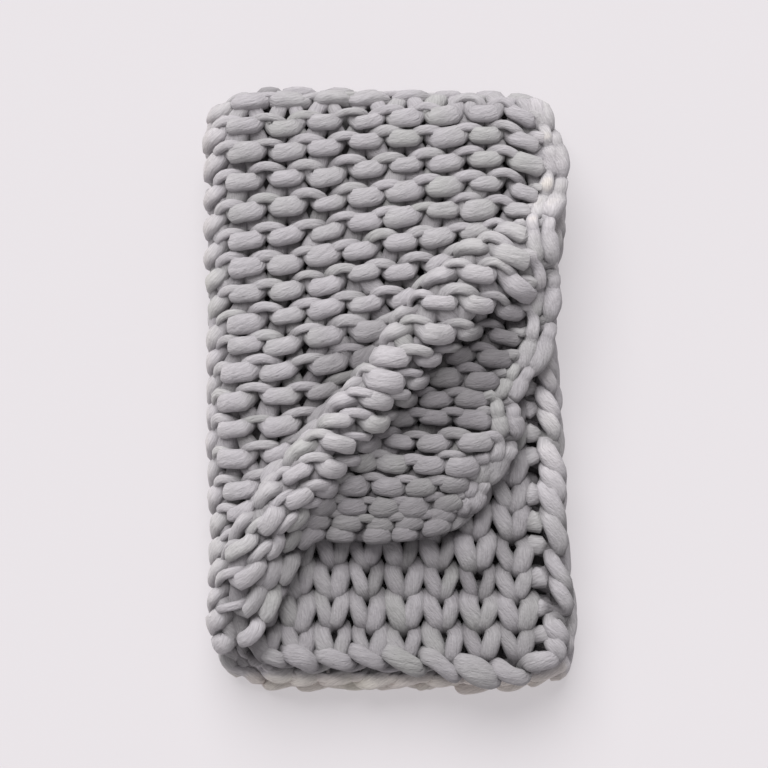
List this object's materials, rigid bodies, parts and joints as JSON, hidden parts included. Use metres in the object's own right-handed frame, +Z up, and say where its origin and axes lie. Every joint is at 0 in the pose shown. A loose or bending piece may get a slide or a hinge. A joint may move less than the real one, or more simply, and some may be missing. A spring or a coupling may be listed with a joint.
{
  "type": "folded chunky knit blanket",
  "caption": "Chunky knit blanket folded in quarters, its top layer ruckled into a diagonal ridge and its free corner drawn back over the layer below",
  "frame": {"origin": "centre of the bounding box, on the surface the folded blanket lies on", "axes": "+Y along the folded blanket's length, towards the end with the first fold; -X to the side with the second fold; +Z up"},
  "size_m": [0.3889, 0.6406, 0.1448],
  "materials": {
    "yarn": "matte"
  },
  "bodies": {
    "root": {"blanket": "yarn"}
  },
  "joints": []
}
